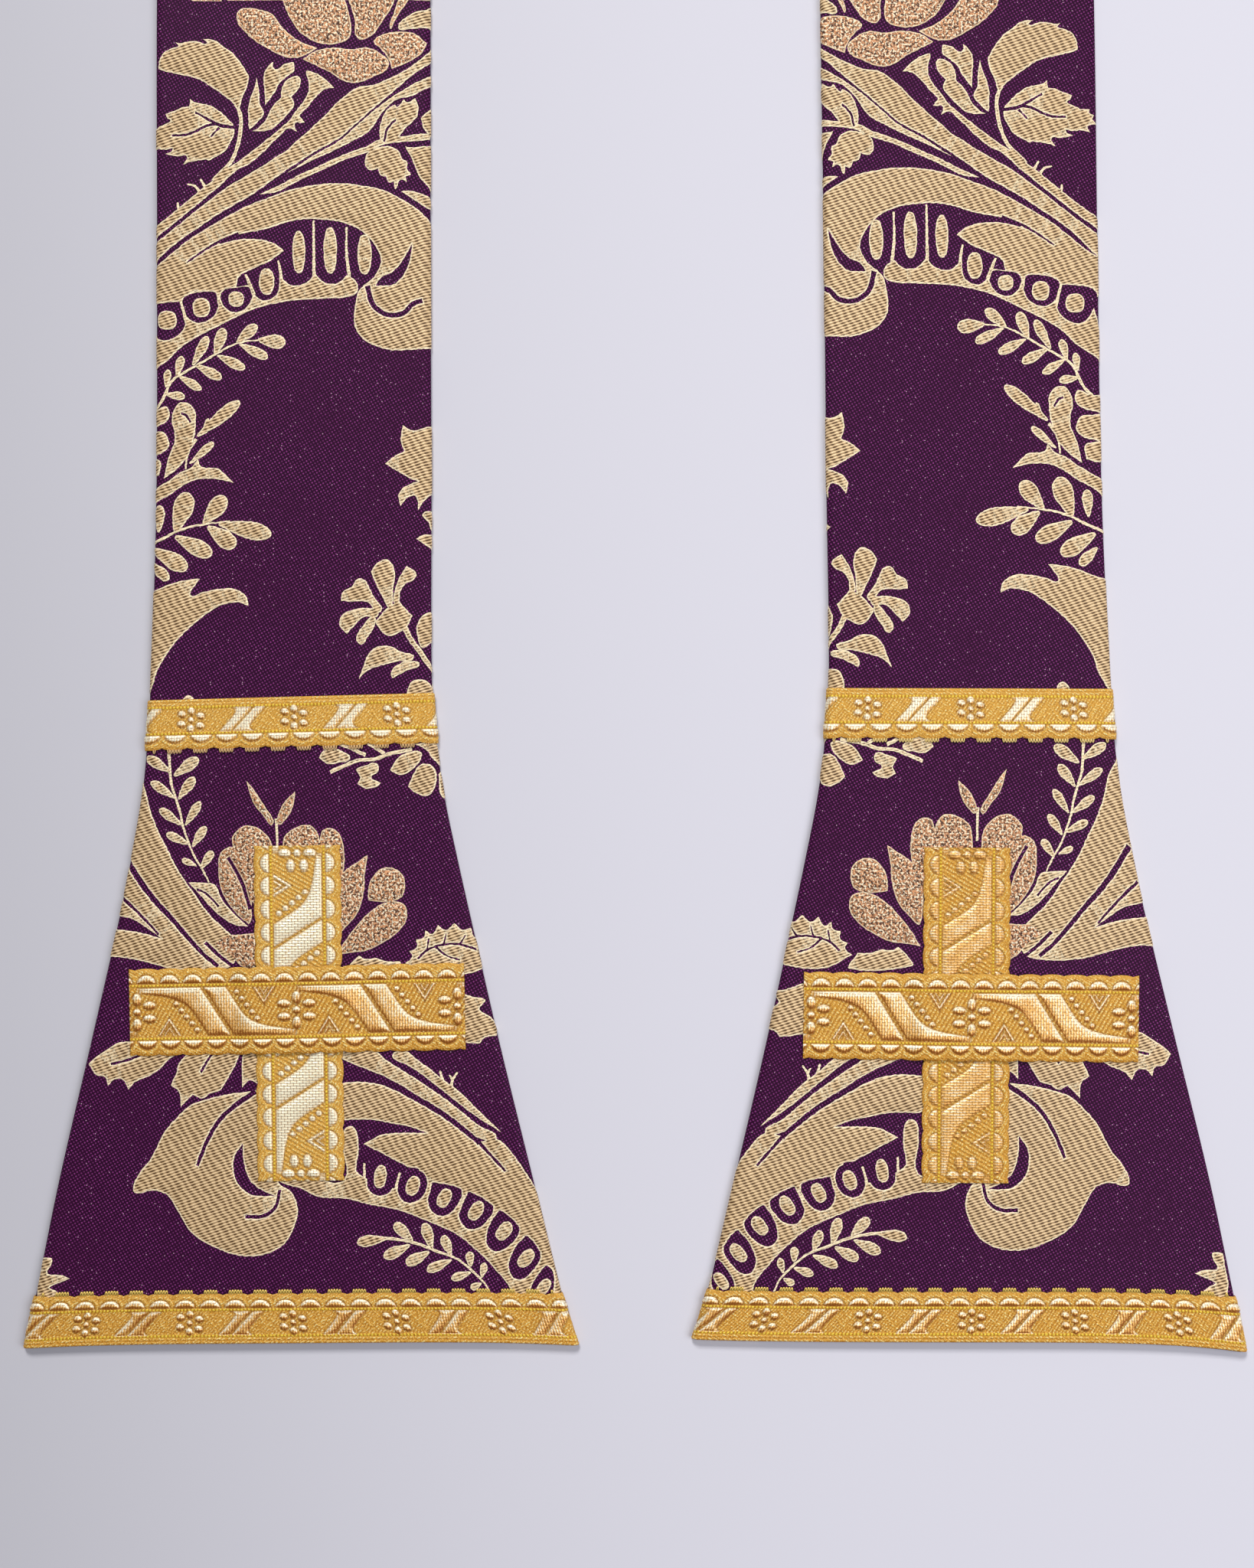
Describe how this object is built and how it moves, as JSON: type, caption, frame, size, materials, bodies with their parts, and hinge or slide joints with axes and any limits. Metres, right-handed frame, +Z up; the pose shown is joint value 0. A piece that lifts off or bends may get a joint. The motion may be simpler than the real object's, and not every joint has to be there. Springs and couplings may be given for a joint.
{
  "type": "clergy stole",
  "caption": "Flat-laid clergy stole of purple and gold figured brocade, with gold galloon bands, hems and crosses on its flared ends.",
  "frame": {"origin": "on the table, under the middle of the stole's plan", "axes": "+Y from the hems up to the neck, +X across to the band on the right of the picture, +Z up, out of the cloth's face"},
  "size_m": [0.4492, 1.1688, 0.0059],
  "materials": {
    "brocade": "figured brocade, aubergine dotted twill ground with a matt gold figure and rose lurex petals",
    "lining": "plain purple lining cloth, fine weave, slight sheen",
    "galloon": "woven gold galloon, bright satin floats on a twill ground of metal thread"
  },
  "bodies": {
    "root": {"left_face": "brocade", "right_face": "brocade", "left_lining": "lining", "right_lining": "lining", "left_hem_galloon": "galloon", "right_hem_galloon": "galloon", "left_band_galloon": "galloon", "right_band_galloon": "galloon", "left_cross_upright": "galloon", "right_cross_upright": "galloon", "left_cross_arm": "galloon", "right_cross_arm": "galloon"}
  },
  "joints": []
}
